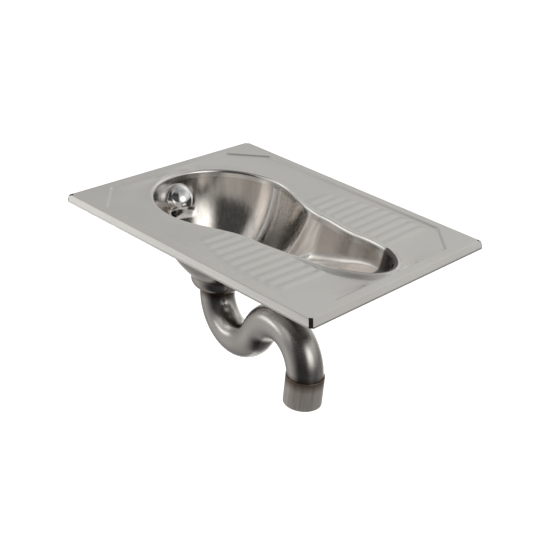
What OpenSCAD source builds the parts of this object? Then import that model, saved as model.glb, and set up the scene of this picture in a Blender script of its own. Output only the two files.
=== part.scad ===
// Squat toilet pan pressed from stainless sheet, with a deep rear bowl, a shallower
// front trough, a sump cup and a welded swan-neck trap below it.
// Origin: centre of the deck in plan, on the level of the rim's bottom edge.
// +X points to the front end of the trough, +Y across the pan, +Z up.

/* [Deck] */
// Overall length of the deck along X
deck_len = 680; // [672:1:700]
// Overall width of the deck along Y
deck_wid = 544; // [536:1:570]
// Height of the folded rim
rim_h = 11; // [10:0.5:14]
// Width of the bevelled part of the rim, in plan
bevel_w = 12.5; // [10:0.5:14]
// Height of the short vertical lip at the foot of the rim
lip_h = 3; // [2:0.5:4]
// Thickness of the deck, bowl and trough sheet
sheet = 1.5; // [1:0.1:2]
// Width of the open slit at each corner of the rim
corner_gap = 8; // [6:0.5:10]
// Width of the flat border round the recessed panel
border_w = 19; // [16:0.5:20]
// Leg of the panel's cut corners
chamfer = 70; // [60:1:75]
// Depth of the panel's edge step
step_h = 3; // [2:0.25:4]
// Further fall of the panel towards the opening
dish_h = 3; // [1:0.25:4]

/* [Treads] */
// Height of the foot tread ridges
rib_h = 1.8; // [1:0.1:3]
// Width of one ridge
rib_w = 19; // [10:1:20]

/* [Opening] */
// Half width of the opening at the rear bowl
bowl_hw = 157; // [150:1:158]
// Distance from the widest place to the rear end
bowl_rear = 155; // [148:1:156]
// Half width of the opening at the waist
waist_hw = 103; // [98:1:106]
// Half width of the opening at the trough
trough_hw = 90; // [84:1:92]
// Length of the trough's rounded front part
trough_front = 152; // [140:1:152]
// Height of the raised lip at the front of the trough
lip_rise = 8.5; // [4:0.5:10]

/* [Bowl] */
// Height of the bowl's lower edge beside the sump
bowl_floor = -173; // [-173.5:0.5:-168]
// Height of the trough floor at its rear edge
trough_floor = -90; // [-92:1:-80]
// Rise of the trough floor from its rear edge to its front end
trough_rise = 58; // [50:1:60]

/* [Sump and trap] */
// Outer diameter of the sump cup
cup_d = 118; // [116:1:119]
// Outer diameter of the trap tube
tube_d = 76.1; // [75:0.1:77]
// Wall of the trap tube
tube_wall = 1.5; // [1.2:0.1:2]
// Centre-line radius of both trap bends
bend_r = 84; // [82:0.5:86]
// Angle that each bend turns through
bend_angle = 158.5; // [156:0.5:160]
// Turn of the trap about the vertical
trap_turn = -11; // [-20:1:20]
// Outer diameter of the tail sleeve
tail_d = 80; // [80:0.5:84]
// Length of the tail sleeve
tail_len = 63; // [45:1:80]

/* [Flush inlet] */
// Outer diameter of the inlet tube
inlet_d = 32; // [30:1:32]
// Height of the inlet's axis
inlet_z = -37; // [-38:0.5:-36]
// Radius of the spreader hood
hood_r = 39; // [38:0.5:40]

/* [Hidden] */

// main reference levels and places
bowl_x = -140;      // widest place of the bowl
waist_x = 40;       // end of the bowl's narrowing
trough_x = 150;     // start of the trough's rounded front part
sump_x = -144;      // axis of the sump and of the trap's start
join_z = -10;       // level where the bowl and the trough are welded to the deck
cup_z = -176;       // level where the cup is welded to the bowl
zp = rim_h - step_h - dish_h;   // panel height at the opening
half_l = deck_len / 2;
half_w = deck_wid / 2;

function sm(t) = let (c = min(max(t, 0), 1)) c * c * (3 - 2 * c);
function mix(a, b, t) = a + (b - a) * t;
function unit(v) = v / norm(v);

// ---- opening outline: half width at a place along X
function hw(x) =
    x < bowl_x ? bowl_hw * sqrt(max(0, 1 - pow((bowl_x - x) / bowl_rear, 2))) :
    x < waist_x ? mix(bowl_hw, waist_hw, (1 - cos(180 * (x - bowl_x) / (waist_x - bowl_x))) / 2) :
    x < trough_x ? mix(waist_hw, trough_hw, pow((x - waist_x) / (trough_x - waist_x), 2)
        * (3 - 2 * (x - waist_x) / (trough_x - waist_x))) :
    trough_hw * sqrt(max(0, 1 - pow((x - trough_x) / trough_front, 2)));

// ---- stations along one side, from the front tip to the rear tip
RIBS = 10;          // ridges on each side
rib_p = 25;         // pitch of the ridges
rib_x = 212;        // place of the foremost ridge
NF = 12;            // stations before the ridges
NM = 5;             // stations between the ridges and the bowl's widest place
NR = 18;            // steps round the bowl's rear end
zone_a = rib_x + rib_w / 2;
zone_b = rib_x - (RIBS - 1) * rib_p - rib_w / 2;
t_front = acos((zone_a - trough_x) / trough_front);
K0 = NF;                        // first ridge station
K1 = NF + 3 * RIBS;             // one past the last ridge station
K2 = K1 + NM;                   // station at the bowl's widest place
H = K2 + NR;                    // rear tip
KS = K0 + 3 * 7;                // station of the weld between bowl and trough
FULL = 2 * H;                   // stations round the whole opening

function sta_xy(k) =
    k < K0 ? let (t = t_front * k / NF) [trough_x + trough_front * cos(t), trough_hw * sin(t)] :
    k < K1 ? let (j = floor((k - K0) / 3), m = (k - K0) % 3,
        x = rib_x - j * rib_p + (1 - m) * rib_w / 2) [x, hw(x)] :
    k < K2 ? let (x = mix(zone_b, bowl_x, (k - K1 + 1) / (NM + 1))) [x, hw(x)] :
    let (t = 90 + 90 * (k - K2) / NR) [bowl_x + bowl_rear * cos(t), bowl_hw * sin(t)];
function is_rib(k) = k >= K0 && k < K1 && (k - K0) % 3 == 1;
function tangent(k) = k == 0 ? [0, 1] : k == H ? [0, -1] :
    unit(sta_xy(k + 1) - sta_xy(k - 1));
// outward normal in plan
function nrm(k) = let (t = tangent(k)) k == 0 ? [1, 0] : k == H ? [-1, 0] : [t[1], -t[0]];

// ---- octagon and rectangle points of the stations
function oct(k, inset) = let (ax = half_l - bevel_w - border_w - inset,
        ay = half_w - bevel_w - border_w - inset,
        c = chamfer - inset * (2 - sqrt(2)), r = k - K2)
    k <= NF - 3 ? [ax, (ay - c) * k / (NF - 3)] :
    k == NF - 2 ? [ax - c / 2, ay - c / 2] :
    k == NF - 1 ? [ax - c, ay] :
    k < K2 ? [sta_xy(k)[0], ay] :
    r <= 7 ? [mix(bowl_x, -(ax - c), r / 7), ay] :
    r == 8 ? [-(ax - c / 2), ay - c / 2] :
    [-ax, (ay - c) * (NR - r) / (NR - 9)];
function rect(k, grow) = let (ax = half_l - bevel_w, ay = half_w - bevel_w,
        o = oct(k, 0), r = k - K2)
    k <= NF - 3 ? [ax + grow, o[1] * 1.1] :
    k == NF - 2 ? [ax + grow, ay + grow] :
    k == NF - 1 ? [o[0] * 1.06, ay + grow] :
    k < K2 ? [o[0], ay + grow] :
    r < 7 ? [mix(bowl_x, o[0], 1), ay + grow] :
    r == 7 ? [o[0] * 1.06, ay + grow] :
    r == 8 ? [-ax - grow, ay + grow] :
    [-ax - grow, o[1] * 1.1];

// ---- raised lip of the trough and roll of the opening's edge
function lip_f(x) = sm((x - 100) / 170);
function crest_z(k) = zp + lip_rise * lip_f(sta_xy(k)[0]);
function roll_x(k) = mix(7, 9, sm((sta_xy(k)[0] + 30) / 90));
function roll_z(k) = mix(7, 8, sm((sta_xy(k)[0] + 30) / 90));
function gap(k) = norm(oct(k, 0) - sta_xy(k));
function room(k) = sm((gap(k) - 6) / 30);
function toe(k) = let (p = sta_xy(k), q = p + nrm(k) * (6 + 8 * lip_f(p[0])), o = oct(k, 0))
    p3(room(k) >= 1 ? q : mix(mix(p, o, 0.5), q, room(k)), mix(rim_h + 0.4, zp, room(k)));
function p3(p, z) = [p[0], p[1], z];
function oct_in(k) = let (p = sta_xy(k), o = oct(k, 0), q = oct(k, 5.5))
    p3(mix(mix(p, o, 0.85), q, room(k)), mix(rim_h + 0.1, rim_h - step_h, room(k)));
function wall_end(k) = let (drop = crest_z(k) - roll_z(k) - join_z, x = sta_xy(k)[0])
    p3(sta_xy(k) - nrm(k) * (roll_x(k) + drop * mix(0.1, 0.2, sm((x + 30) / 90))), join_z);

// ---- ridges
function rib_out(x) = 186 + 44 * (1 - pow((x - 140) / 175, 2));
function panel(k, u, h) = let (a = toe(k), b = oct_in(k)) mix(a, b, u) + [0, 0, h];
function rib_u(k, y) = let (a = toe(k), b = oct_in(k)) (y - a[1]) / (b[1] - a[1]);
function rib_at(k, j) = // j: 0 outer foot, 1 outer top, 2 inner top, 3 inner foot
    let (zone = k >= K0 && k < K1, h = is_rib(k) && (j == 1 || j == 2) ? rib_h : 0)
    !zone ? panel(k, [0.8, 0.7, 0.22, 0.12][j], 0) :
    let (x = sta_xy(k)[0], yo = rib_out(x), yi = toe(k)[1] + 2)
    panel(k, rib_u(k, [yo, yo - 7, yi + 6, yi][j]), h);

// ---- rings of the deck: top side from the rim's foot to the weld, then the underside back
TOP = 17;
function deck_top(k, j) =
    j == 0 ? p3(rect(k, bevel_w), 0) :
    j == 1 ? p3(rect(k, bevel_w), lip_h) :
    j == 2 ? p3(rect(k, 1.4), rim_h - 0.7) :
    j == 3 ? p3(rect(k, -1.4), rim_h) :
    j == 4 ? p3(oct(k, 0), rim_h) :
    j == 5 ? oct_in(k) :
    j < 10 ? rib_at(k, j - 6) :
    j == 10 ? toe(k) :
    j == 11 ? let (a = toe(k), c = p3(sta_xy(k), crest_z(k)))
        p3(mix(a, c, 0.5), mix(a[2], c[2], 0.6)) :
    j == 12 ? p3(sta_xy(k), crest_z(k)) :
    j < 16 ? let (a = 30 * (j - 12)) p3(sta_xy(k) - nrm(k) * roll_x(k) * sin(a),
        crest_z(k) - roll_z(k) * (1 - cos(a))) :
    wall_end(k);
function deck_under(k, j) = let (p = deck_top(k, j), n = nrm(k))
    j == 0 ? p3(rect(k, bevel_w - sheet), 0) :
    j == 1 ? p3(rect(k, bevel_w - sheet), lip_h - 0.35 * sheet) :
    j == 2 ? p3(rect(k, 1.4 - 0.6 * sheet), rim_h - 0.7 - sheet) :
    j <= 12 ? p - [0, 0, sheet] :
    j < 16 ? let (a = 30 * (j - 12), b = sta_xy(k) - n * (roll_x(k) - sheet) * sin(a))
        p3(b, crest_z(k) - roll_z(k) + (roll_z(k) - sheet) * cos(a)) :
    p3([p[0], p[1]] + n * sheet, join_z);
function mir(p, flip) = flip ? [p[0], -p[1], p[2]] : p;
// whole-loop station s in 0..FULL-1: far side front to rear, then near side rear to front
function side_k(s) = s <= H ? s : FULL - s;
function deck_pt(j, s) = let (k = side_k(s), f = s > H)
    mir(j < TOP ? deck_top(k, j) : deck_under(k, 2 * TOP - 1 - j), f);

// closed tube of rings: rings of n points, the last ring joins the first
function torus_faces(rings, n) = [for (j = [0 : rings - 1], s = [0 : n - 1])
    let (a = j * n + s, b = j * n + (s + 1) % n, c = ((j + 1) % rings) * n + s,
        d = ((j + 1) % rings) * n + (s + 1) % n) each [[a, c, b], [b, c, d]]];

module deck_tray() {
    color("#b9b8b4") union() {
        difference() {
            polyhedron([for (j = [0 : 2 * TOP - 1], s = [0 : FULL - 1]) deck_pt(j, s)],
                torus_faces(2 * TOP, FULL), 6);
            // open corners between the folded sides of the rim, closed only at the very foot
            for_corners() translate([-corner_gap / 2, -corner_gap / 2, 0.8]) cube([40, corner_gap, 20]);
        }
        // sloping tab folded in behind each open corner
        for_corners() translate([0, corner_gap / 2 + 1.2, 0]) rotate([90, 0, 0])
            linear_extrude(height = corner_gap + 2.4) tab_section();
    }
}
module for_corners() { // +X points out along the corner's diagonal
    for (sx = [-1, 1], sy = [-1, 1])
        translate([sx * (half_l - bevel_w), sy * (half_w - bevel_w), 0]) rotate([0, 0, atan2(sy, sx)]) children();
}
module tab_section() {
    back = corner_gap / 2 + 1.4;
    d = sqrt(2);
    polygon([[-1.5 * d - back, rim_h - 0.3], [1.4 * d - back, rim_h - 0.9], [bevel_w * d - back, lip_h - 0.1],
        [bevel_w * d - back, 0.3], [bevel_w * d - back - 1.5, 0.3], [bevel_w * d - back - 1.5, lip_h - 0.7],
        [1.4 * d - back - 0.8, rim_h - 2.4], [-1.5 * d - back, rim_h - 1.4]]);
}

function bez(a, b, c, d, t) = let (u = 1 - t)
    u * u * u * a + 3 * u * u * t * b + 3 * u * t * t * c + t * t * t * d;

// ---- trough: profile from the deck weld down to the middle line of the floor
TM = 8;             // levels of the trough
function spine_x(k) = let (x = sta_xy(k)[0], w = wall_end(k)[0], t = (x - trough_x) / trough_front)
    x < trough_x ? mix(w, x, sm((x - 70) / 60)) : trough_x + 83 * (1.83 * t - 0.83 * t * t);
function floor_z(x) = trough_floor + trough_rise * (x - 46) / 175;
function trough_pt(k, j) = let (w = wall_end(k), sx = spine_x(k), s = [sx, 0, floor_z(sx)],
        d = s - w, hh = w[2] - s[2], f = 90 * j / TM, lean = min(0.25, 0.24 * hh / norm([d[0], d[1]])),
        down = pow(sin(f), 0.32), in = 1 - pow(cos(f), 0.32), a = lean * down + (1 - lean) * in)
    [w[0] + a * d[0], w[1] + a * d[1], w[2] - down * hh];
function trough_n(k, j) = // outward (down) normal by finite differences, kept in the weld's plane there
    let (a = trough_pt(k, max(j - 1, 0)), b = trough_pt(k, min(j + 1, TM)), dv = b - a)
    k == KS ? (j == TM ? [0, 0, -1] : unit([0, -dv[2], dv[1]] * (dv[2] < 0 ? 1 : 1))) :
    j == TM ? [0, 0, -1] :
    let (c = k == 0 ? mir(trough_pt(1, j), true) : trough_pt(k - 1, j), e = trough_pt(k + 1, j),
        n = cross(dv, e - c)) unit(n[2] > 0 ? -n : n);
function trough_out(k, j) = let (p = trough_pt(k, j), n = trough_n(k, j))
    j == 0 ? let (m = nrm(k)) p + [m[0], m[1], 0] * sheet : p + n * sheet;
function t_idx(s, j, side) = let (n = 2 * KS + 1, base = side * (n * TM + KS + 1))
    base + (j < TM ? j * n + s : n * TM + (s <= KS ? KS - s : s - KS));
// station s in 0..2*KS: 0 = far end of the weld, KS = front tip, 2*KS = near end of the weld
function t_k(s) = abs(KS - s);
module front_trough() {
    n = 2 * KS + 1;
    pts = [for (side = [0, 1]) each concat(
        [for (j = [0 : TM - 1], s = [0 : n - 1]) mir(side == 0 ? trough_pt(t_k(s), j) : trough_out(t_k(s), j), s > KS)],
        [for (k = [0 : KS]) side == 0 ? trough_pt(k, TM) : trough_out(k, TM)])];
    function quad(a, b, c, d) = concat(a != b && b != c && a != c ? [[a, b, c]] : [],
        a != c && c != d && a != d ? [[a, c, d]] : []);
    faces = concat(
        [for (j = [0 : TM - 1], s = [0 : n - 2]) each
            quad(t_idx(s, j, 0), t_idx(s + 1, j, 0), t_idx(s + 1, j + 1, 0), t_idx(s, j + 1, 0))],
        [for (j = [0 : TM - 1], s = [0 : n - 2]) each
            quad(t_idx(s, j, 1), t_idx(s, j + 1, 1), t_idx(s + 1, j + 1, 1), t_idx(s + 1, j, 1))],
        [for (s = [0 : n - 2]) each
            quad(t_idx(s, 0, 0), t_idx(s, 0, 1), t_idx(s + 1, 0, 1), t_idx(s + 1, 0, 0))],
        [for (j = [0 : TM - 1]) each
            quad(t_idx(0, j, 0), t_idx(0, j + 1, 0), t_idx(0, j + 1, 1), t_idx(0, j, 1))],
        [for (j = [0 : TM - 1]) each
            quad(t_idx(2 * KS, j, 0), t_idx(2 * KS, j, 1), t_idx(2 * KS, j + 1, 1), t_idx(2 * KS, j + 1, 0))]);
    color("#c4c1bb") polyhedron(pts, faces, 6);
}

// ---- bowl: top ring is the deck weld from far weld end round the rear to the near weld end,
// then back across the end of the trough; bottom ring is the sump's mouth
BL = 12;            // levels of the bowl
wall_f = 0.50;      // how far the side wall keeps straight, as a part of its depth
floor_f = 0.40;     // how far the floor keeps straight, as a part of its width
floor_s = 0.95;     // slope of the floor towards the sump
NB = 2 * (H - KS) + 2 * TM;     // stations round the bowl
function b_top(s) = let (m = H - KS)
    s <= m ? wall_end(KS + s) :
    s <= 2 * m ? mir(wall_end(KS + 2 * m - s), true) :
    s <= 2 * m + TM ? mir(trough_pt(KS, s - 2 * m), true) :
    trough_pt(KS, NB - s);
function b_top_out(s) = let (m = H - KS)
    s == 0 || s == 2 * m ? mir(trough_out(KS, 0), s > 0) :
    s < 2 * m ? let (k = s <= m ? KS + s : KS + 2 * m - s, p = wall_end(k), n = nrm(k))
        mir(p + [n[0], n[1], 0] * sheet, s > m) :
    s <= 2 * m + TM ? mir(trough_out(KS, s - 2 * m), true) :
    trough_out(KS, NB - s);
// upright pad pressed into the rear wall for the flush inlet
function pad(p) = let (w = 1 - sm((abs(p[1]) - 22) / 18), v = sm((p[2] + 90) / 22),
        q = [p[0] + 127.6, p[1]], r = norm(q),
        g = p[0] < -200 ? w * v * max(0, 158.7 + (p[2] + 10) * 0.057 - r) : 0)
    p + [q[0], q[1], 0] * g / r;
function b_pt(s, f) = let (m = H - KS, t = b_top(s), c = [sump_x, 0, 0],
        r = unit([t[0] - sump_x, t[1], 0]), b = c + r * (cup_d / 2 + 1) + [0, 0, bowl_floor],
        d = norm([b[0] - t[0], b[1] - t[1]]), hh = t[2] - b[2],
        front = sm((t[0] + 100) / 160),
        u = s > 2 * m ? sin(90 * (1 - abs(s - 2 * m - TM) / TM)) : 0,
        side1 = t - r * d * mix(0.14, 0.18, front) - [0, 0, hh * wall_f],
        mid1 = t - [0.22 * d, 0, 0.04 * hh],
        p1 = mix(side1, mid1, u),
        fo = mix(floor_f, 0.42, front),
        p2 = b + r * d * fo + [0, 0, d * fo * mix(floor_s, 0.7, front)])
    pad(bez(t, p1, p2, b, f));
function b_in(s, j) = let (r = unit([b_top(s)[0] - sump_x, b_top(s)[1], 0]), c = [sump_x, 0, 0],
        ri = cup_d / 2 - sheet)
    j <= BL ? b_pt(s, j / BL) :
    j == BL + 1 ? c + r * (ri + 0.8) + [0, 0, mix(bowl_floor, cup_z, 0.55)] : c + r * ri + [0, 0, cup_z];
function b_out(s, j) = let (r = unit([b_top(s)[0] - sump_x, b_top(s)[1], 0]), c = [sump_x, 0, 0],
        ri = cup_d / 2 - sheet)
    j == 0 ? b_top_out(s) :
    j < BL ? let (e = 0.02, f = j / BL, dv = b_pt(s, f + e) - b_pt(s, f - e),
        ds = b_pt((s + 1) % NB, f) - b_pt((s + NB - 1) % NB, f), n = unit(cross(dv, ds)))
        b_pt(s, f) + n * sheet :
    j == BL ? b_pt(s, 1) + (r - [0, 0, 1]) * sheet * 0.7 :
    j == BL + 1 ? c + r * (ri + 0.8 + sheet * 0.8) + [0, 0, mix(bowl_floor, cup_z, 0.55) - sheet * 0.4] :
    c + r * (ri + sheet) + [0, 0, cup_z];
module rear_bowl() {
    lv = BL + 3;
    color("#c4c1bb") difference() {
        polyhedron([for (j = [0 : 2 * lv - 1], s = [0 : NB - 1])
            j < lv ? b_in(s, j) : b_out(s, 2 * lv - 1 - j)], torus_faces(2 * lv, NB), 6);
        // hole for the flush inlet
        translate([-300, 0, inlet_z]) rotate([0, 90, 0]) cylinder(h = 40, d = inlet_d + 0.6, $fn = 64);
    }
}

// ---- sump cup, turned profile
cup_r = cup_d / 2;
cup_fillet = 20;    // outer radius of the cup's rounded foot
module cup_blank(g) { // solid of revolution, shrunk by g
    f = cup_fillet - g;
    rotate_extrude($fn = 128) union() {
        translate([0, bend_z + cup_fillet]) square([cup_r - g, cup_z - bend_z - cup_fillet + (g > 0 ? 1 : 0)]);
        translate([0, bend_z + g]) square([cup_r - cup_fillet, cup_fillet]);
        intersection() {
            translate([cup_r - cup_fillet, bend_z + cup_fillet]) circle(r = f, $fn = 96);
            translate([cup_r - cup_fillet - 0.01, bend_z + g - 0.01]) square([f + 1, f + 0.02]);
        }
    }
}
module sump_cup() {
    color("#8d8782") translate([sump_x, 0, 0]) difference() {
        cup_blank(0);
        cup_blank(sheet);
        translate([0, 0, bend_z - 5]) cylinder(h = 20, r = tube_r - tube_wall, $fn = 96);
    }
}

// ---- trap: two bends in one upright plane and a straight tail
tube_r = tube_d / 2;
bend_z = -204.5;    // foot of the cup, where the first bend starts
function c1() = [bend_r, bend_z];
function c2() = c1() + 2 * bend_r * [-cos(bend_angle), -sin(bend_angle)];
tail_z = c2()[1];
tail_u = c2()[0] + bend_r;
module in_plane() { translate([sump_x, 0, 0]) rotate([0, 0, trap_turn]) children(); }
module bend(c, a0, ang, ro, ri) {
    translate([c[0], 0, c[1]]) rotate([90, 0, 0]) rotate([0, 0, a0])
        rotate_extrude(angle = ang, $fn = 128) translate([bend_r, 0]) difference() {
            circle(r = ro, $fn = 96);
            if (ri > 0) circle(r = ri, $fn = 96);
        }
}
module trap_lower_bend() { color("#9b9893") in_plane()
    bend(c1(), 180, bend_angle, tube_r, tube_r - tube_wall); }
module trap_upper_bend() { color("#a19e99") in_plane()
    bend(c2(), 0, bend_angle, tube_r, tube_r - tube_wall); }
tail_top = tail_z + 11.5;   // the sleeve covers the end of the second bend
module trap_tail() {
    color("#8f877d") in_plane() translate([tail_u, 0, tail_top - tail_len]) difference() {
        cylinder(h = tail_len, r = tail_d / 2, $fn = 96);
        translate([0, 0, -1]) cylinder(h = tail_len + 2, r = tube_r + 0.9, $fn = 96);
    }
}
// weld beads: under the cup and above the tail
module bead(r, w) {
    difference() {
        rotate_extrude($fn = 96) translate([r + 0.5, 0]) circle(r = w, $fn = 32);
        translate([0, 0, -5]) cylinder(h = 10, r = r + 0.03, $fn = 96);
    }
}
module trap_welds() {
    color("#7c6a58") in_plane() {
        difference() {
            translate([0, 0, bend_z]) bead(tube_r, 2);
            translate([-60, -60, bend_z - 0.02]) cube([120, 120, 10]);
        }
        difference() {
            translate([tail_u, 0, tail_top + 0.02]) rotate_extrude($fn = 96)
                translate([tail_d / 2 - 1, 0]) circle(r = 1.2, $fn = 32);
            translate([tail_u, 0, tail_top - 5]) cylinder(h = 5.02, r = 60, $fn = 96);
            bend(c2(), 0, 20, tube_r + 0.03, 0);
        }
    }
}

// ---- flush spreader hood: quarter dome against the rear wall
wall_x = -285;      // rear wall at the inlet
hood_z = -54;       // open bottom edge of the hood
module hood_room(r) { // inside of the bowl near the rear wall
    translate([wall_x + 157.4, 0, hood_z]) cylinder(h = 60, r1 = 149.8, r2 = 163.1, $fn = 128);
}
module spreader_hood() {
    color("#d8dadc") intersection() {
        translate([wall_x + 1, 0, hood_z]) difference() {
            sphere(r = hood_r, $fn = 96);
            sphere(r = hood_r - 1.2, $fn = 96);
        }
        hood_room();
        translate([wall_x - 5, -60, hood_z]) cube([80, 120, 60]);
    }
}

// ---- flush inlet: flanged threaded tube, gaskets, washer and nut, along -X
module ring_x(x0, len, ro, ri) {
    translate([x0, 0, inlet_z]) rotate([0, -90, 0]) difference() {
        cylinder(h = len, r = ro, $fn = 72);
        translate([0, 0, -1]) cylinder(h = len + 2, r = ri, $fn = 72);
    }
}
module inlet_tube() {
    color("#b8b6b0") union() {
        ring_x(-279.6, 2, inlet_d / 2 + 3, inlet_d / 2 - 2);
        ring_x(-280, 22, inlet_d / 2, inlet_d / 2 - 2);
        ring_x(-301, 36, inlet_d / 2 - 0.9, inlet_d / 2 - 2.6);
    }
}
module inlet_inner_gasket() { color("#2b2b2b") ring_x(-281.7, 1.9, inlet_d / 2 + 3, inlet_d / 2 + 0.2); }
module inlet_outer_gasket() { color("#2b2b2b") ring_x(-287.2, 3, inlet_d / 2 + 8, inlet_d / 2 + 0.2); }
module inlet_washer() { color("#c9c9c5") ring_x(-290.3, 1.5, inlet_d / 2 + 8, inlet_d / 2 + 0.3); }
module inlet_locknut() {
    color("#b5963f") translate([-291.9, 0, inlet_z]) rotate([0, -90, 0]) difference() {
        cylinder(h = 8, r = inlet_d / 2 + 8, $fn = 6);
        translate([0, 0, -1]) cylinder(h = 10, r = inlet_d / 2 + 0.05, $fn = 72);
    }
}

deck_tray();
rear_bowl();
front_trough();
sump_cup();
trap_lower_bend();
trap_upper_bend();
trap_tail();
trap_welds();
spreader_hood();
inlet_tube();
inlet_inner_gasket();
inlet_outer_gasket();
inlet_washer();
inlet_locknut();
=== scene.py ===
import bpy, bmesh, math
import numpy as np
from mathutils import Vector, Matrix


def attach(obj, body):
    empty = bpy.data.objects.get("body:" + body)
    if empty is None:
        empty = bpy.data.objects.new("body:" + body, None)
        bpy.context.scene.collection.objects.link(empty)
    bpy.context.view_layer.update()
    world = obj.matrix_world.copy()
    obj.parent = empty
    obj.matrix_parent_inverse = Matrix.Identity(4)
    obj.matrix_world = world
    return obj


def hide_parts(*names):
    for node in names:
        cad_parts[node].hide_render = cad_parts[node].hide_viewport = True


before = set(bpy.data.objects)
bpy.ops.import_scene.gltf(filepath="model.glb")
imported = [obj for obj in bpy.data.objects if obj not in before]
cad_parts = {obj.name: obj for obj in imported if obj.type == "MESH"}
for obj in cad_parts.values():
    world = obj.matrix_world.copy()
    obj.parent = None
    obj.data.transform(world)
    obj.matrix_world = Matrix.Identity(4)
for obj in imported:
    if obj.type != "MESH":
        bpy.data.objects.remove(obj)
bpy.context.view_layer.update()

MM = 0.001

# ------------------------------------------------------------------ the pan's own formulas, in mm
HALF_L, HALF_W = 340.0, 272.0
BEVEL, BORDER, CHAMFER, RIM_H, STEP_H, DISH_H, SHEET = 12.5, 19.0, 70.0, 11.0, 3.0, 3.0, 1.5
ZP = RIM_H - STEP_H - DISH_H
BOWL_X, BOWL_HW, BOWL_REAR = -140.0, 157.0, 155.0
WAIST_X, WAIST_HW = 40.0, 103.0
TROUGH_X, TROUGH_HW, TROUGH_FRONT = 150.0, 90.0, 152.0
LIP_RISE = 8.5
SUMP_X, JOIN_Z, CUP_Z, CUP_R = -144.0, -10.0, -176.0, 59.0
RIBS, RIB_P, RIB_X0, RIB_W, RIB_H = 10, 25.0, 212.0, 19.0, 1.5
NF, NM, NR = 12, 5, 18
ZONE_A = RIB_X0 + RIB_W / 2
ZONE_B = RIB_X0 - (RIBS - 1) * RIB_P - RIB_W / 2
K0, K1 = NF, NF + 3 * RIBS
K2 = K1 + NM
H = K2 + NR
KS = K0 + 21
T_FRONT = math.degrees(math.acos((ZONE_A - TROUGH_X) / TROUGH_FRONT))


def sm(t):
    t = np.clip(t, 0, 1)
    return t * t * (3 - 2 * t)


def mix(a, b, t):
    return a + (b - a) * t


def hw(x):
    x = np.asarray(x, float)
    a = BOWL_HW * np.sqrt(np.clip(1 - ((BOWL_X - x) / BOWL_REAR) ** 2, 0, None))
    b = mix(BOWL_HW, WAIST_HW, (1 - np.cos(np.pi * (x - BOWL_X) / (WAIST_X - BOWL_X))) / 2)
    u = (x - WAIST_X) / (TROUGH_X - WAIST_X)
    c = mix(WAIST_HW, TROUGH_HW, u * u * (3 - 2 * u))
    d = TROUGH_HW * np.sqrt(np.clip(1 - ((x - TROUGH_X) / TROUGH_FRONT) ** 2, 0, None))
    return np.where(x < BOWL_X, a, np.where(x < WAIST_X, b, np.where(x < TROUGH_X, c, d)))


KI = np.arange(0, H + 1)


def int_x(k):
    if k < K0:
        return TROUGH_X + TROUGH_FRONT * math.cos(math.radians(T_FRONT * k / NF))
    if k < K1:
        j, m = (k - K0) // 3, (k - K0) % 3
        return RIB_X0 - j * RIB_P + (1 - m) * RIB_W / 2
    if k < K2:
        return mix(ZONE_B, BOWL_X, (k - K1 + 1) / (NM + 1))
    return BOWL_X + BOWL_REAR * math.cos(math.radians(90 + 90 * (k - K2) / NR))


XI = np.array([int_x(int(k)) for k in KI])


def outline(k):
    k = np.asarray(k, float)
    tf = np.radians(T_FRONT * k / NF)
    tr = np.radians(90 + 90 * (k - K2) / NR)
    xm = np.interp(k, KI, XI)
    x = np.where(k < K0, TROUGH_X + TROUGH_FRONT * np.cos(tf), np.where(k > K2, BOWL_X + BOWL_REAR * np.cos(tr), xm))
    y = np.where(k < K0, TROUGH_HW * np.sin(tf), np.where(k > K2, BOWL_HW * np.sin(tr), hw(xm)))
    return np.stack([x, y], -1)


def normal2(k):
    k = np.asarray(k, float)
    e = 0.02
    d = outline(np.clip(k + e, 0, H)) - outline(np.clip(k - e, 0, H))
    n = np.stack([d[..., 1], -d[..., 0]], -1)
    n = n / np.linalg.norm(n, axis=-1, keepdims=True)
    n[k <= 0.001] = (1, 0)
    n[k >= H - 0.001] = (-1, 0)
    return n


def oct_int(k, inset):
    ax, ay = HALF_L - BEVEL - BORDER - inset, HALF_W - BEVEL - BORDER - inset
    c = CHAMFER - inset * (2 - math.sqrt(2))
    r = k - K2
    if k <= NF - 3: return (ax, (ay - c) * k / (NF - 3))
    if k == NF - 2: return (ax - c / 2, ay - c / 2)
    if k == NF - 1: return (ax - c, ay)
    if k < K2: return (XI[k], ay)
    if r <= 7: return (mix(BOWL_X, -(ax - c), r / 7), ay)
    if r == 8: return (-(ax - c / 2), ay - c / 2)
    return (-ax, (ay - c) * (NR - r) / (NR - 9))


def octp(k, inset):
    P = np.array([oct_int(int(i), inset) for i in KI])
    return np.stack([np.interp(k, KI, P[:, 0]), np.interp(k, KI, P[:, 1])], -1)


def rect_int(k, g):
    ax, ay = HALF_L - BEVEL, HALF_W - BEVEL
    o, r = oct_int(k, 0), k - K2
    if k <= NF - 3: return (ax + g, o[1] * 1.1)
    if k == NF - 2: return (ax + g, ay + g)
    if k == NF - 1: return (o[0] * 1.06, ay + g)
    if k < K2: return (o[0], ay + g)
    if r < 7: return (o[0], ay + g)
    if r == 7: return (o[0] * 1.06, ay + g)
    if r == 8: return (-ax - g, ay + g)
    return (-ax - g, o[1] * 1.1)


def rectp(k, g):
    P = np.array([rect_int(int(i), g) for i in KI])
    return np.stack([np.interp(k, KI, P[:, 0]), np.interp(k, KI, P[:, 1])], -1)


def lip_f(x): return sm((x - 100) / 170)
def crest_z(x): return ZP + LIP_RISE * lip_f(x)
def roll_x(x): return mix(7, 9, sm((x + 30) / 90))
def roll_z(x): return mix(7, 8, sm((x + 30) / 90))


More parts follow.
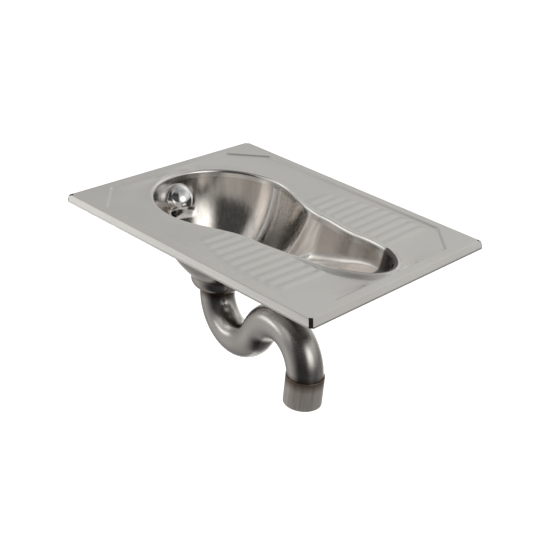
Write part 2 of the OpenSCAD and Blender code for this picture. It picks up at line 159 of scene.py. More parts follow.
def wall_end(k):
    p = outline(k)
    n = normal2(k)
    x = p[..., 0]
    drop = crest_z(x) - roll_z(x) - JOIN_Z
    d = roll_x(x) + drop * mix(0.1, 0.2, sm((x + 30) / 90))
    q = p - n * d[..., None]
    return np.concatenate([q, np.full(q.shape[:-1] + (1,), JOIN_Z)], -1)


def bez(a, b, c, d, t):
    u = 1 - t
    return u * u * u * a + 3 * u * u * t * b + 3 * u * t * t * c + t * t * t * d


def spine_x(k):
    x = outline(k)[..., 0]
    w = wall_end(k)[..., 0]
    t = (x - TROUGH_X) / TROUGH_FRONT
    return np.where(x < TROUGH_X, mix(w, x, sm((x - 70) / 60)), TROUGH_X + 83 * (1.83 * t - 0.83 * t * t))


def trough_pt(k, f):
    """k: stations (n,), f: 0 at the deck weld .. 1 on the floor's middle line; returns (len(f), n, 3)"""
    w = wall_end(k)
    sx = spine_x(k)
    s = np.stack([sx, np.zeros_like(sx), -90 + 58 * (sx - 46) / 175], -1)
    d = s - w
    hh = w[:, 2] - s[:, 2]
    f = (np.asarray(f) * np.pi / 2)[:, None]
    lean = np.minimum(0.25, 0.24 * hh / np.linalg.norm(d[:, :2], axis=1))[None]
    down = np.sin(f) ** 0.32
    a = lean * down + (1 - lean) * (1 - np.clip(np.cos(f), 0, None) ** 0.32)
    return np.stack([w[None, :, 0] + a * d[None, :, 0], w[None, :, 1] + a * d[None, :, 1], w[None, :, 2] - down * hh[None]], -1)


def mir(P):
    Q = P.copy()
    Q[..., 1] *= -1
    return Q


# ------------------------------------------------------------------ mesh helpers
def new_object(name, verts, faces, body="root", angle=35.0):
    me = bpy.data.meshes.new(name)
    me.from_pydata([tuple(v) for v in (np.asarray(verts) * MM)], [], [tuple(f) for f in faces])
    bm = bmesh.new()
    bm.from_mesh(me)
    bmesh.ops.remove_doubles(bm, verts=bm.verts, dist=1e-6)
    bmesh.ops.recalc_face_normals(bm, faces=bm.faces)
    bm.to_mesh(me)
    bm.free()
    me.validate()
    me.shade_smooth()
    me.set_sharp_from_angle(angle=math.radians(angle))
    o = bpy.data.objects.new(name, me)
    bpy.context.scene.collection.objects.link(o)
    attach(o, body)
    return o


def grid_normals(P, closed):
    """P (rows, cols, 3); unit normals by central differences"""
    dv = np.empty_like(P)
    dv[1:-1] = P[2:] - P[:-2]
    dv[0] = P[1] - P[0]
    dv[-1] = P[-1] - P[-2]
    if closed:
        du = np.roll(P, -1, 1) - np.roll(P, 1, 1)
    else:
        du = np.empty_like(P)
        du[:, 1:-1] = P[:, 2:] - P[:, :-2]
        du[:, 0] = P[:, 1] - P[:, 0]
        du[:, -1] = P[:, -1] - P[:, -2]
    n = np.cross(dv, du)
    ln = np.linalg.norm(n, axis=-1, keepdims=True)
    return n / np.maximum(ln, 1e-9)


def shell(P, closed, t, n=None, base=0):
    """closed sheet of thickness t behind the grid P; returns verts, faces"""
    R, C = P.shape[:2]
    if n is None:
        n = grid_normals(P, closed)
    Q = P - n * t
    V = np.concatenate([P.reshape(-1, 3), Q.reshape(-1, 3)])
    F = []
    cc = C if closed else C - 1
    idx = lambda s, i, j: base + s * R * C + i * C + (j % C)
    for i in range(R - 1):
        for j in range(cc):
            F.append((idx(0, i, j), idx(0, i, j + 1), idx(0, i + 1, j + 1), idx(0, i + 1, j)))
            F.append((idx(1, i, j), idx(1, i + 1, j), idx(1, i + 1, j + 1), idx(1, i, j + 1)))
    for j in range(cc):
        F.append((idx(0, 0, j), idx(1, 0, j), idx(1, 0, j + 1), idx(0, 0, j + 1)))
        F.append((idx(0, R - 1, j), idx(0, R - 1, j + 1), idx(1, R - 1, j + 1), idx(1, R - 1, j)))
    if not closed:
        for i in range(R - 1):
            F.append((idx(0, i, 0), idx(0, i + 1, 0), idx(1, i + 1, 0), idx(1, i, 0)))
            F.append((idx(0, i, C - 1), idx(1, i, C - 1), idx(1, i + 1, C - 1), idx(0, i + 1, C - 1)))
    return V, F


def lathe(profile, n=96, axis="z", at=(0, 0, 0), closed_profile=True, wob=None):
    """profile: list of (r, h); turned about an axis through at"""
    pr = np.array(profile, float)
    a = np.linspace(0, 2 * np.pi, n, endpoint=False)
    r = pr[:, 0][:, None] * np.ones(n)
    h = pr[:, 1][:, None] * np.ones(n)
    if wob is not None:
        dr, dh = wob(a)
        r, h = r + dr, h + dh
    c, s = np.cos(a)[None], np.sin(a)[None]
    if axis == "z":
        P = np.stack([r * c, r * s, h], -1)
    else:                                   # along -X: h runs towards -X
        P = np.stack([-h, r * c, r * s], -1)
    P = P + np.array(at)
    R = len(pr)
    F = []
    for i in range(R if closed_profile else R - 1):
        for j in range(n):
            i2, j2 = (i + 1) % R, (j + 1) % n
            F.append((i * n + j, i * n + j2, i2 * n + j2, i2 * n + j))
    return P.reshape(-1, 3), F


def round_poly(pts, rad, seg=4):
    """closed (r, h) outline with its corners rounded"""
    out = []
    m = len(pts)
    for i in range(m):
        p0, p1, p2 = (np.array(pts[(i + d) % m], float) for d in (-1, 0, 1))
        r = rad[i] if hasattr(rad, "__len__") else rad
        a, b = p0 - p1, p2 - p1
        la, lb = np.linalg.norm(a), np.linalg.norm(b)
        r = min(r, la * 0.49, lb * 0.49)
        if r <= 1e-6:
            out.append(tuple(p1))
            continue
        q0, q2 = p1 + a / la * r, p1 + b / lb * r
        for s in range(seg + 1):
            t = s / seg
            out.append(tuple((1 - t) ** 2 * q0 + 2 * t * (1 - t) * p1 + t * t * q2))
    return out


# ------------------------------------------------------------------ deck
def rib_out(x): return 186 + 44 * (1 - ((x - 140) / 175) ** 2)


def rib_field(x, y):
    """height of the foot treads above the panel"""
    ay = np.abs(y)
    u = (RIB_X0 + RIB_P / 2 - x) / RIB_P
    c = RIB_X0 - np.clip(np.round(u - 0.5), 0, RIBS - 1) * RIB_P
    prof = np.where((u > 0) & (u < RIBS), (0.5 - 0.5 * np.cos(2 * np.pi * u)) ** 0.9, 0)
    yi = hw(c) + 2 + 5 * lip_f(c)
    yo = rib_out(c)
    win = sm((ay - yi) / 12) * sm((yo - ay) / 13)
    return RIB_H * prof * win


k_fine = [np.linspace(0, K0, 61)[:-1]]
xz = np.arange(ZONE_A, ZONE_B - 0.01, -1.75)
k_fine.append(np.interp(-xz, -XI, KI))
k_fine.append(np.linspace(K1 - 1, K2, 25)[1:-1])
k_fine.append(np.linspace(K2, H, 91))
cutk = 5.66
ra, rb = rect_int(NF - 3, 0), rect_int(NF - 1, 0)
kc = [NF - 2 - cutk / (259.5 - ra[1]), NF - 2 + cutk / (327.5 - rb[0])]
ra, rb = rect_int(K2 + 7, 0), rect_int(K2 + 9, 0)
kc += [K2 + 8 - cutk / (327.5 + ra[0]), K2 + 8 + cutk / (259.5 - rb[1])]
K = np.unique(np.round(np.concatenate(k_fine + [np.array([NF - 3, NF - 2, NF - 1, K2 + 7, K2 + 8, K2 + 9.0])] + [np.array(kc)]), 5))
K = K[np.concatenate([[True], np.diff(K) > 1e-4])]


def loop(P):
    """far side rows (n, 3) to the whole loop"""
    return np.concatenate([P, mir(P[1:-1][::-1])])


def z3(p, z):
    return np.concatenate([p, np.broadcast_to(np.asarray(z, float), p.shape[:1])[:, None]], -1)


POLISH_FROM = 1.0


def deck_rows():
    E, N, O = outline(K), normal2(K), octp(K, 0)
    x = E[:, 0]
    ze = crest_z(x)
    gap = np.linalg.norm(O - E, axis=1)
    room = sm((gap - 6) / 30)
    toe = E + N * (7 + 9 * lip_f(x))[:, None]
    rows = []
    # rim's inner edge with cut corners
    for g in (-1.5, -4.0, -9.0):
        p = rectp(K, g)
        ax, ay = 327.5 + g, 259.5 + g
        d = (np.abs(p[:, 0]) + np.abs(p[:, 1])) - (ax + ay - cutk)
        over = np.clip(d, 0, None) / 2
        p = p - np.sign(p) * over[:, None]
        rows.append(z3(p, RIM_H))
    # border, soft step and panel
    for inset, z in ((-2.0, 0), (-1.0, -0.03), (0, -0.12), (0.9, -0.38), (1.8, -0.8), (2.75, -1.5), (3.7, -2.2), (4.6, -2.62),
                     (5.5, -2.88), (6.6, -2.98)):
        q = octp(K, max(inset, 0)) if inset >= 0 else O + (O - octp(K, 1.0)) * (-inset)
        fr = np.clip((inset + 2) / 8.6, 0, 1) * 0.25
        tip = mix(O, E, fr)
        q = tip + (q - tip) * room[:, None]
        rows.append(z3(q, mix(RIM_H + 0.05 * fr, RIM_H + z, room)))
    a = rows[-1]
    b = z3(mix(mix(O, E, 0.5), toe, room[:, None]), mix(RIM_H + 0.3, ZP, room))
    for u in np.linspace(0, 1, 44)[1:]:
        p = mix(a, b, u)
        p[:, 2] = mix(a[:, 2], b[:, 2], sm(u))
        rows.append(p)
    # raised lip, S-curve up to the crest
    c = z3(E, ze)
    cut = 0
    for t in np.linspace(0, 1, 13)[1:]:
        if t < POLISH_FROM + 1e-6:
            cut = len(rows)
        p = mix(b, c, t)
        p[:, 2] = mix(b[:, 2], c[:, 2], 0.5 * (1 - math.cos(math.pi * t)))
        rows.append(p)
    # rolled edge and wall
    rx, rz = roll_x(x), roll_z(x)
    for ang in np.linspace(0, 90, 15)[1:]:
        s, co = math.sin(math.radians(ang)), math.cos(math.radians(ang))
        rows.append(z3(E - N * (rx * s)[:, None], ze - rz * (1 - co)))
    we = wall_end(K)
    last = rows[-1]
    for t in (0.34, 0.67, 1.0):
        rows.append(mix(last, we, t))
    G = np.stack([loop(r) for r in rows])
    G[..., 2] += rib_field(G[..., 0], G[..., 1])
    return G, cut


def make_deck():
    G, cut = deck_rows()
    nrm = grid_normals(G, True)
    # the polished edge of the opening, from the lip's shoulder down to the weld
    V, F = shell(G[cut:], True, -SHEET, n=nrm[cut:])
    rim = new_object("opening_edge", V, F, angle=32)
    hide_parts("deck_tray")
    V, F = shell(G[:cut + 1], True, -SHEET, n=nrm[:cut + 1])
    Vs, Fs = [V], list(F)
    base = len(V)
    # four folded rims, open at the corners
    prof = [(-1.5, 11), (-0.7, 10.98), (0.1, 10.86), (0.9, 10.6), (1.7, 10.15), (2.6, 9.55), (4.0, 8.6), (6.0, 7.25), (8.0, 5.9), (10.0, 4.55),
            (11.0, 3.84), (11.5, 3.3), (11.85, 2.7), (12.12, 2.05), (12.35, 1.3), (12.48, 0.55), (12.5, 0.2), (12.46, 0.0)]
    pr = np.array(prof)
    d = np.gradient(pr, axis=0)
    nr = np.stack([-d[:, 1], d[:, 0]], -1)
    nr /= np.linalg.norm(nr, axis=1, keepdims=True)
    n_s = 121
    for side in range(4):
        a_len = 259.5 if side % 2 == 0 else 327.5
        a_out = 327.5 if side % 2 == 0 else 259.5
        s = np.linspace(-1, 1, n_s)
        P = np.empty((len(pr), n_s, 3))
        Q = np.empty_like(P)
        for i, (g, z) in enumerate(pr):
            e = a_len + g - cutk
            for A, gg, zz in ((P, g, z), (Q, g - nr[i, 0] * SHEET * (1 if nr[i, 0] + nr[i, 1] > 0 else -1), z - nr[i, 1] * SHEET * (1 if nr[i, 0] + nr[i, 1] > 0 else -1))):
                A[i, :, 0] = a_out + gg
                A[i, :, 1] = s * e
                A[i, :, 2] = max(zz, 0.0)
        if side == 1:
            P = np.stack([-P[..., 1], P[..., 0], P[..., 2]], -1); Q = np.stack([-Q[..., 1], Q[..., 0], Q[..., 2]], -1)
        elif side == 2:
            P = P * (-1, -1, 1); Q = Q * (-1, -1, 1)
        elif side == 3:
            P = np.stack([P[..., 1], -P[..., 0], P[..., 2]], -1); Q = np.stack([Q[..., 1], -Q[..., 0], Q[..., 2]], -1)
        V, F = shell(P, False, 1.0, n=(P - Q), base=base)
        Vs.append(V)
        Fs += F
        base += len(V)
    o = new_object("deck_sheet", blunt(np.concatenate(Vs)), Fs, angle=32)
    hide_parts("deck_tray")
    return o, rim


def blunt(V):
    """the three far corners of the rim are pressed a little short"""
    V = V.copy()
    ax, ay = np.abs(V[:, 0]), np.abs(V[:, 1])
    over = np.maximum(ax + ay - (HALF_L + HALF_W - 22), 0) * 0.8 / 2
    near = (V[:, 0] > 0) & (V[:, 1] < 0)
    over[near] = 0
    V[:, 0] -= np.sign(V[:, 0]) * over
    V[:, 1] -= np.sign(V[:, 1]) * over
    return V


def make_tabs():
    """sloping tabs folded in behind the rim's open corners"""
    back, r2 = 4 + 1.4, math.sqrt(2)
    sec = round_poly([(-1.5 * r2 - back, 10.7), (1.4 * r2 - back, 10.1), (BEVEL * r2 - back, 2.9), (BEVEL * r2 - back, 0.3),
                      (BEVEL * r2 - back - 1.5, 0.3), (BEVEL * r2 - back - 1.5, 2.3), (1.4 * r2 - back - 0.8, 8.6), (-1.5 * r2 - back, 9.6)], 0.35, 3)
    sec = np.array(sec)
    m = len(sec)
    ys = np.array([-5.2, -5.0, -2.5, 0, 2.5, 5.0, 5.2])
    shr = np.array([0.2, 0, 0, 0, 0, 0, 0.2])
    Vs, Fs, base = [], [], 0
    cen = sec.mean(0)
    for sx in (-1, 1):
        for sy in (-1, 1):
            P = []
            for yv, q in zip(ys, shr):
                ss = sec + (cen - sec) * (q * 0.05)
                P.append(np.stack([ss[:, 0], np.full(m, yv), ss[:, 1]], -1))
            P = np.concatenate(P)
            x = (P[:, 0] - P[:, 1]) / r2
            y = (P[:, 0] + P[:, 1]) / r2
            Vs.append(np.stack([sx * (HALF_L - BEVEL + x), sy * (HALF_W - BEVEL + y), P[:, 2]], -1))
            n = len(ys)
            Fs += [(base + i * m + j, base + i * m + (j + 1) % m, base + (i + 1) * m + (j + 1) % m, base + (i + 1) * m + j) for i in range(n - 1) for j in range(m)]
            Fs.append(tuple(base + j for j in range(m)))
            Fs.append(tuple(base + (n - 1) * m + j for j in range(m - 1, -1, -1)))
            base += n * m
    o = new_object("corner_tabs", blunt(np.concatenate(Vs)), Fs, angle=32)
    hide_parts("deck_tray")
    return o


# ------------------------------------------------------------------ bowl and trough
def make_trough():
    kk = np.concatenate([np.linspace(0, K0, 41)[:-1], np.linspace(K0, KS, 50)])
    f = np.linspace(0, 1, 34)
    far = trough_pt(kk, f)                       # (rows, n, 3), k from tip to weld
    # rows from the far rim over the floor to the near rim, columns from the tip to the weld
    G = np.concatenate([far, mir(far[:-1][::-1])])
    V, F = shell(G, False, -SHEET)
    o = new_object("trough_skin", V, F, angle=40)
    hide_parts("front_trough")
    return o


def pad(P):
    """upright pad pressed into the rear wall for the flush inlet"""
    w = 1 - sm((np.abs(P[:, 1]) - 22) / 18)
    v = sm((P[:, 2] + 90) / 22)
    q = P[:, :2] + np.array([127.6, 0])
    r = np.linalg.norm(q, axis=1)
    g = np.where(P[:, 0] < -200, w * v * np.clip(158.7 + (P[:, 2] + 10) * 0.057 - r, 0, None), 0)
    P = P.copy()
    P[:, :2] += q * (g / r)[:, None]
    return P


def bowl_grid(nl=46):
    ka = np.concatenate([np.linspace(KS, K1 - 1, 24)[:-1], np.linspace(K1 - 1, K2, 22)[:-1], np.linspace(K2, H, 60)])
    arc = wall_end(ka)
    ring = [arc, mir(arc[:-1][::-1])]
    fu = np.linspace(0, 1, 34)
    u_far = trough_pt(np.array([float(KS)]), fu)[:, 0]
    near = mir(u_far)[1:]
    far = u_far[1:-1][::-1]
    T = np.concatenate(ring + [near, far])
    U = np.concatenate([np.zeros(len(arc) * 2 - 1), np.sin(np.pi / 2 * fu[1:]), np.sin(np.pi / 2 * fu[1:-1][::-1])])
    c = np.array([SUMP_X, 0, 0])
    r = T - c
    r[:, 2] = 0
    r /= np.linalg.norm(r, axis=1, keepdims=True)
    B = c + r * (CUP_R + 1) + np.array([0, 0, -173.0])
    d = np.linalg.norm((B - T)[:, :2], axis=1)[:, None]
    hh = (T[:, 2] - B[:, 2])[:, None]
    fr = sm((T[:, 0] + 100) / 160)[:, None]
    ez, ex = np.array([0, 0, 1.0]), np.array([1.0, 0, 0])
    side1 = T - r * d * mix(0.14, 0.18, fr) - ez * hh * 0.50
    mid1 = T - ex * 0.22 * d - ez * 0.04 * hh
    P1 = mix(side1, mid1, U[:, None])
    fo = mix(0.40, 0.42, fr)
    P2 = B + r * d * fo + ez * d * fo * mix(0.95, 0.7, fr)
    rows = [pad(bez(T, P1, P2, B, t)) for t in np.linspace(0, 1, nl)]
    ri = CUP_R - SHEET
    rows.append(c + r * (ri + 0.8) + ez * -174.65)
    rows.append(c + r * ri + ez * CUP_Z)
    return np.stack(rows)


def make_bowl():
    G = bowl_grid()
    V, F = shell(G, True, -SHEET)
    o = new_object("bowl_skin", V, F, angle=40)
    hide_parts("rear_bowl")
    return o


# ------------------------------------------------------------------ cup, trap and tail
TUBE_R, BEND_R, BEND_A, BEND_Z, TURN = 38.05, 84.0, 158.5, -204.5, math.radians(-11)
C1 = np.array([BEND_R, BEND_Z])
C2 = C1 + 2 * BEND_R * np.array([-math.cos(math.radians(BEND_A)), -math.sin(math.radians(BEND_A))])
TAIL_U, TAIL_TOP = C2[0] + BEND_R, C2[1] + 11.5


def plane(u, v, z):
    """trap coordinates (along, across, up) to the pan's frame"""
    c, s = math.cos(TURN), math.sin(TURN)
    return np.stack([SUMP_X + u * c - v * s, u * s + v * c, z], -1)


def make_cup():
    f, t = 20.0, SHEET
    pts = [(CUP_R, CUP_Z)]
    for a in np.linspace(0, 90, 15):
        pts.append((CUP_R - f + f * math.cos(math.radians(a)), BEND_Z + f - f * math.sin(math.radians(a))))
    pts.append((TUBE_R - 1.2, BEND_Z))
    pts.append((TUBE_R - 1.5, BEND_Z + 0.4))
    pts.append((TUBE_R - 1.2, BEND_Z + t))
    for a in np.linspace(90, 0, 15):
        pts.append((CUP_R - f + (f - t) * math.cos(math.radians(a)), BEND_Z + f - (f - t) * math.sin(math.radians(a))))
    pts.append((CUP_R - t, CUP_Z))
    V, F = lathe(pts, 128, at=(SUMP_X, 0, 0))
    o = new_object("cup", V, F)
    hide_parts("sump_cup")
    return o


def tube_arc(name, c, a0, a1, node):
    na, nc = 110, 96
    A = np.radians(np.linspace(a0, a1, na))
    B = np.linspace(0, 2 * np.pi, nc, endpoint=False)
    outer, inner = [], []
    for R, L in ((TUBE_R, outer), (TUBE_R - 1.5, inner)):
        for a in A:
            rr = BEND_R + R * np.cos(B)
            L.append(plane(c[0] + rr * math.cos(a), R * np.sin(B), c[1] + rr * math.sin(a)))
    P = np.stack(outer + inner[::-1])
    n = P.shape[0]
    F = [(i * nc + j, i * nc + (j + 1) % nc, ((i + 1) % n) * nc + (j + 1) % nc, ((i + 1) % n) * nc + j) for i in range(n) for j in range(nc)]
    o = new_object(name, P.reshape(-1, 3), F, angle=50)
    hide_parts(node)
    return o


def make_tail():
    z0, z1 = TAIL_TOP - 63, TAIL_TOP
    V, F = lathe(round_poly([(40, z0), (40, z1), (TUBE_R + 0.9, z1), (TUBE_R + 0.9, z0)], 0.35, 3), 128)
    V = plane(TAIL_U + V[:, 0], V[:, 1], V[:, 2])
    o = new_object("tail_sleeve", V, F)
    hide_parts("trap_tail")
    return o


def make_welds():
    Vs, Fs, base = [], [], 0
    rng = np.random.default_rng(7)
    for (r0, z0, w, at) in ((TUBE_R + 0.45, BEND_Z - 0.9, 1.35, 0.0), (TUBE_R + 0.75, TAIL_TOP + 0.35, 1.1, TAIL_U)):
        n, m = 720, 14
        a = np.linspace(0, 2 * np.pi, n, endpoint=False)
        dimes = 74
        ph = (a * dimes / (2 * np.pi)) % 1.0
        rip = 0.16 * (1 - (2 * ph - 1) ** 2) + 0.05 * np.sin(a * 3 + 1) + 0.04 * np.sin(a * 11)
        b = np.linspace(0, 2 * np.pi, m, endpoint=False)
        R = r0 + (w + rip[None]) * np.cos(b)[:, None]
        Z = z0 + (w * 0.8 + rip[None]) * np.sin(b)[:, None]
        if at == 0.0:
            Z = np.minimum(Z, BEND_Z - 0.03)
        P = plane(at + R * np.cos(a)[None], R * np.sin(a)[None], Z)
        F = [(base + i * n + j, base + i * n + (j + 1) % n, base + ((i + 1) % m) * n + (j + 1) % n, base + ((i + 1) % m) * n + j) for i in range(m) for j in range(n)]
        Vs.append(P.reshape(-1, 3)); Fs += F
        base += n * m
    o = new_object("weld_beads", np.concatenate(Vs), Fs, angle=60)
    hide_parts("trap_welds")
    return o


# ------------------------------------------------------------------ spreader hood and inlet
def wall_at(y, z):
    """X of the bowl's rear wall at a place"""
    t = (z + 54) / 39.0
    R = mix(150.0, 158.7, t)
    return -285 + 157.4 - np.sqrt(np.clip(R * R - np.asarray(y) ** 2, 0, None)) + 0.35


def make_hood():
    c, R = np.array([-284.0, 0, -54.0]), 39.0
    e = np.radians(np.linspace(0, 90, 41))
    a = np.radians(np.linspace(-90, 90, 81))
    Ee, Aa = np.meshgrid(e, a, indexing="ij")
    def surf(r):
        P = np.stack([c[0] + r * np.cos(Ee) * np.cos(Aa), c[1] + r * np.cos(Ee) * np.sin(Aa), c[2] + r * np.sin(Ee)], -1)
        # side edges run back to the wall
        w = wall_at(P[..., 1], P[..., 2])
        P[..., 0] = np.maximum(P[..., 0], w)
        P[:, 0, 0] = w[:, 0]; P[:, -1, 0] = w[:, -1]
        P[-1, :, 0] = w[-1, :]
        return P
    P, Q = surf(R), surf(R - 1.2)
    V, F = shell(P, False, 1.0, n=(P - Q))
    o = new_object("hood_dome", V, F, angle=50)
    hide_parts("spreader_hood")
    return o


INLET_Z = -37.0


def make_inlet():
    out = []
    # tube: flange, threaded part, plain spigot; h runs towards -X from the origin
    pts = [(14.0, 279.6), (18.6, 279.6), (19.0, 280.0), (19.0, 281.2), (18.7, 281.6), (15.3, 281.6), (15.1, 282.4)]
    h = 282.8
    while h < 300.2:
        pts += [(15.15, h), (15.95, h + 0.55), (15.95, h + 0.8), (15.15, h + 1.35)]
        h += 1.5
    pts += [(15.1, 301.2), (15.1, 335.4), (14.6, 336.0), (14.0, 336.0), (13.5, 335.6), (13.4, 301.4), (14.0, 300.8)]
    V, F = lathe(pts, 96, axis="x", at=(0, 0, INLET_Z))
    o = new_object("inlet_tube_turned", V, F, angle=25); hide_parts("inlet_tube"); out.append(o)
    for name, node, x0, x1, ro, ri, rad, slot in (("gasket_inner", "inlet_inner_gasket", 281.7, 283.6, 19.0, 16.2, 0.6, "rubber"),
                                                  ("gasket_outer", "inlet_outer_gasket", 287.2, 290.2, 24.0, 16.2, 0.9, "rubber"),
                                                  ("washer", "inlet_washer", 290.3, 291.8, 24.0, 16.3, 0.35, "inlet_steel")):
        V, F = lathe(round_poly([(ri, x0), (ro, x0), (ro, x1), (ri, x1)], rad, 4), 96, axis="x", at=(0, 0, INLET_Z))
        o = new_object(name, V, F, angle=50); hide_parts(node); out.append(o)
    # hexagon nut with chamfered corners
    n = 144
    a = np.linspace(0, 2 * np.pi, n, endpoint=False)
    hexr = 24.0 * math.cos(math.pi / 6) / np.cos((a % (np.pi / 3)) - np.pi / 6)
    P = []
    for hgt, cap, inner in ((291.9, 22.0, 16.9), (292.9, 24.0, None), (298.9, 24.0, None), (299.9, 22.0, 16.9)):
        P.append((hgt, np.minimum(hexr, cap + 0 * a)))
    rows = [(291.9, np.full(n, 16.8)), (291.9, np.minimum(hexr, 21.6)), (292.5, np.minimum(hexr, 22.7)), (293.3, np.minimum(hexr, 24.0)),
            (298.5, np.minimum(hexr, 24.0)), (299.3, np.minimum(hexr, 22.7)), (299.9, np.minimum(hexr, 21.6)), (299.9, np.full(n, 16.8)),
            (299.3, np.full(n, 16.1)), (292.5, np.full(n, 16.1))]
    V = np.concatenate([np.stack([np.full(n, -hh), r * np.cos(a), INLET_Z + r * np.sin(a)], -1) for hh, r in rows])
    m = len(rows)
    F = [(i * n + j, i * n + (j + 1) % n, ((i + 1) % m) * n + (j + 1) % n, ((i + 1) % m) * n + j) for i in range(m) for j in range(n)]
    o = new_object("locknut", V, F, angle=25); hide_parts("inlet_locknut"); out.append(o)
    return out


deck, rim = make_deck()
tabs = make_tabs()
trough = make_trough()
bowl = make_bowl()
cup = make_cup()
lower = tube_arc("bend_lower", C1, 180, 180 + BEND_A, "trap_lower_bend")
upper = tube_arc("bend_upper", C2, 0, BEND_A, "trap_upper_bend")
tail = make_tail()
welds = make_welds()
hood = make_hood()
inlet = make_inlet()


# ------------------------------------------------------------------ materials
class Mat:
    def __init__(self, name):
        self.m = bpy.data.materials.new(name)
        self.m.use_nodes = True
        self.t = self.m.node_tree
        self.b = self.t.nodes["Principled BSDF"]
        self.co = self.n("ShaderNodeTexCoord").outputs["Object"]

    def n(self, kind, **kw):
        nd = self.t.nodes.new(kind)
        for k, v in kw.items():
            setattr(nd, k, v)
        return nd

    def link(self, a, b):
        self.t.links.new(a, b)

    def mapping(self, scale, rot=(0, 0, 0)):
        mp = self.n("ShaderNodeMapping")
        mp.inputs["Scale"].default_value = scale
        mp.inputs["Rotation"].default_value = rot
        self.link(self.co, mp.inputs["Vector"])
        return mp.outputs["Vector"]

    def noise(self, vec, scale, detail=3.0, rough=0.55, w=None):
        nz = self.n("ShaderNodeTexNoise")
        nz.inputs["Scale"].default_value = scale
        nz.inputs["Detail"].default_value = detail
        nz.inputs["Roughness"].default_value = rough
        self.link(vec, nz.inputs["Vector"])
        return nz.outputs["Fac"]

    def ramp(self, fac, stops):
        r = self.n("ShaderNodeValToRGB")
        el = r.color_ramp.elements
        while len(el) < len(stops):
            el.new(0.5)
        for e, (p, c) in zip(el, stops):
            e.position = p
            e.color = (c[0], c[1], c[2], 1) if hasattr(c, "__len__") else (c, c, c, 1)
        self.link(fac, r.inputs["Fac"])
        return r.outputs["Color"]

    def rng(self, fac, a, b, c, d):
        mr = self.n("ShaderNodeMapRange")
        for i, v in zip(("From Min", "From Max", "To Min", "To Max"), (a, b, c, d)):
            mr.inputs[i].default_value = v
        self.link(fac, mr.inputs["Value"])
        return mr.outputs["Result"]

    def math(self, op, a, b=None):
        m = self.n("ShaderNodeMath", operation=op)
        for i, v in enumerate((a, b)):
            if v is None:
                continue
            if isinstance(v, (int, float)):
                m.inputs[i].default_value = v
            else:
                self.link(v, m.inputs[i])
        return m.outputs[0]

    def mixc(self, fac, a, b):
        m = self.n("ShaderNodeMix", data_type="RGBA")
        if isinstance(fac, (int, float)):
            m.inputs[0].default_value = fac
        else:
            self.link(fac, m.inputs[0])
        for i, v in ((6, a), (7, b)):
            if hasattr(v, "__len__"):
                m.inputs[i].default_value = (v[0], v[1], v[2], 1)
            else:
                self.link(v, m.inputs[i])
        return m.outputs[2]

    def bump(self, height, strength, dist, prev=None):
        b = self.n("ShaderNodeBump")
        b.inputs["Strength"].default_value = strength
        b.inputs["Distance"].default_value = dist
        self.link(height, b.inputs["Height"])
        if prev is not None:
            self.link(prev, b.inputs["Normal"])
        return b.outputs["Normal"]

    def z(self):
        s = self.n("ShaderNodeSeparateXYZ")
        self.link(self.co, s.inputs[0])
        return s.outputs

    def set(self, base=None, rough=None, metal=1.0, normal=None, **kw):
        if base is not None:
            if hasattr(base, "__len__"):
                self.b.inputs["Base Color"].default_value = (base[0], base[1], base[2], 1)
            else:
                self.link(base, self.b.inputs["Base Color"])
        if rough is not None:
            if isinstance(rough, (int, float)):
                self.b.inputs["Roughness"].default_value = rough
            else:
                self.link(rough, self.b.inputs["Roughness"])
        self.b.inputs["Metallic"].default_value = metal
        if normal is not None:
            self.link(normal, self.b.inputs["Normal"])
        for k, v in kw.items():
            self.b.inputs[k.replace("_", " ")].default_value = v
        return self.m


def give(o, m):
    o.data.materials.clear()
    o.data.materials.append(m)


def satin_sheet():
    M = Mat("satin_steel")
    brush = M.noise(M.mapping((4, 260, 60)), 9.0, 4, 0.6)          # fine lines along X
    broad = M.noise(M.co, 5.0, 3, 0.5)
    base = M.ramp(broad, [(0.3, (0.645, 0.635, 0.612)), (0.7, (0.72, 0.71, 0.687))])
    base = M.mixc(M.rng(brush, 0.3, 0.7, 0.0, 0.30), base, (0.52, 0.51, 0.487))
    rough = M.math("ADD", M.rng(brush, 0.3, 0.7, 0.28, 0.36), M.rng(broad, 0.3, 0.7, -0.02, 0.03))
    n = M.bump(brush, 0.10, 0.0006)
    n = M.bump(M.noise(M.co, 7.0, 2, 0.5), 0.25, 0.002, n)
    return M.set(base, rough, 1.0, n)


def edge_sheet():
    M = Mat("edge_steel")
    st = M.noise(M.mapping((30, 30, 90)), 5.0, 3, 0.55)
    # the front end of the edge gets painted shade, darkened to near black
    base = painted_front_shade(M, M.ramp(st, [(0.3, (0.66, 0.65, 0.63)), (0.7, (0.76, 0.75, 0.73))]))
    return M.set(base, M.rng(st, 0.3, 0.7, 0.16, 0.24), 1.0, M.bump(st, 0.10, 0.0006))


def painted_front_shade(M, base):
    """painted shade: steel at the trough's front end darkened to near black, standing in for the shade in the end wall
    """
    x = M.z()
    return M.mixc(M.rng(x[0], 0.2285, 0.2345, 0.0, 0.92), base, (0.055, 0.052, 0.05))


def scale_and_shade_sheet():
    """sheet made near black, partly for the weld's scale and partly as painted shade in the rim's open corners"""
    M = Mat("corner_scale_and_shade")
    nz = M.noise(M.co, 120.0, 3, 0.6)
    base = M.ramp(nz, [(0.3, (0.012, 0.010, 0.009)), (0.7, (0.035, 0.030, 0.027))])
    return M.set(base, M.rng(nz, 0.3, 0.7, 0.55, 0.75), 0.6, M.bump(nz, 0.3, 0.0005))


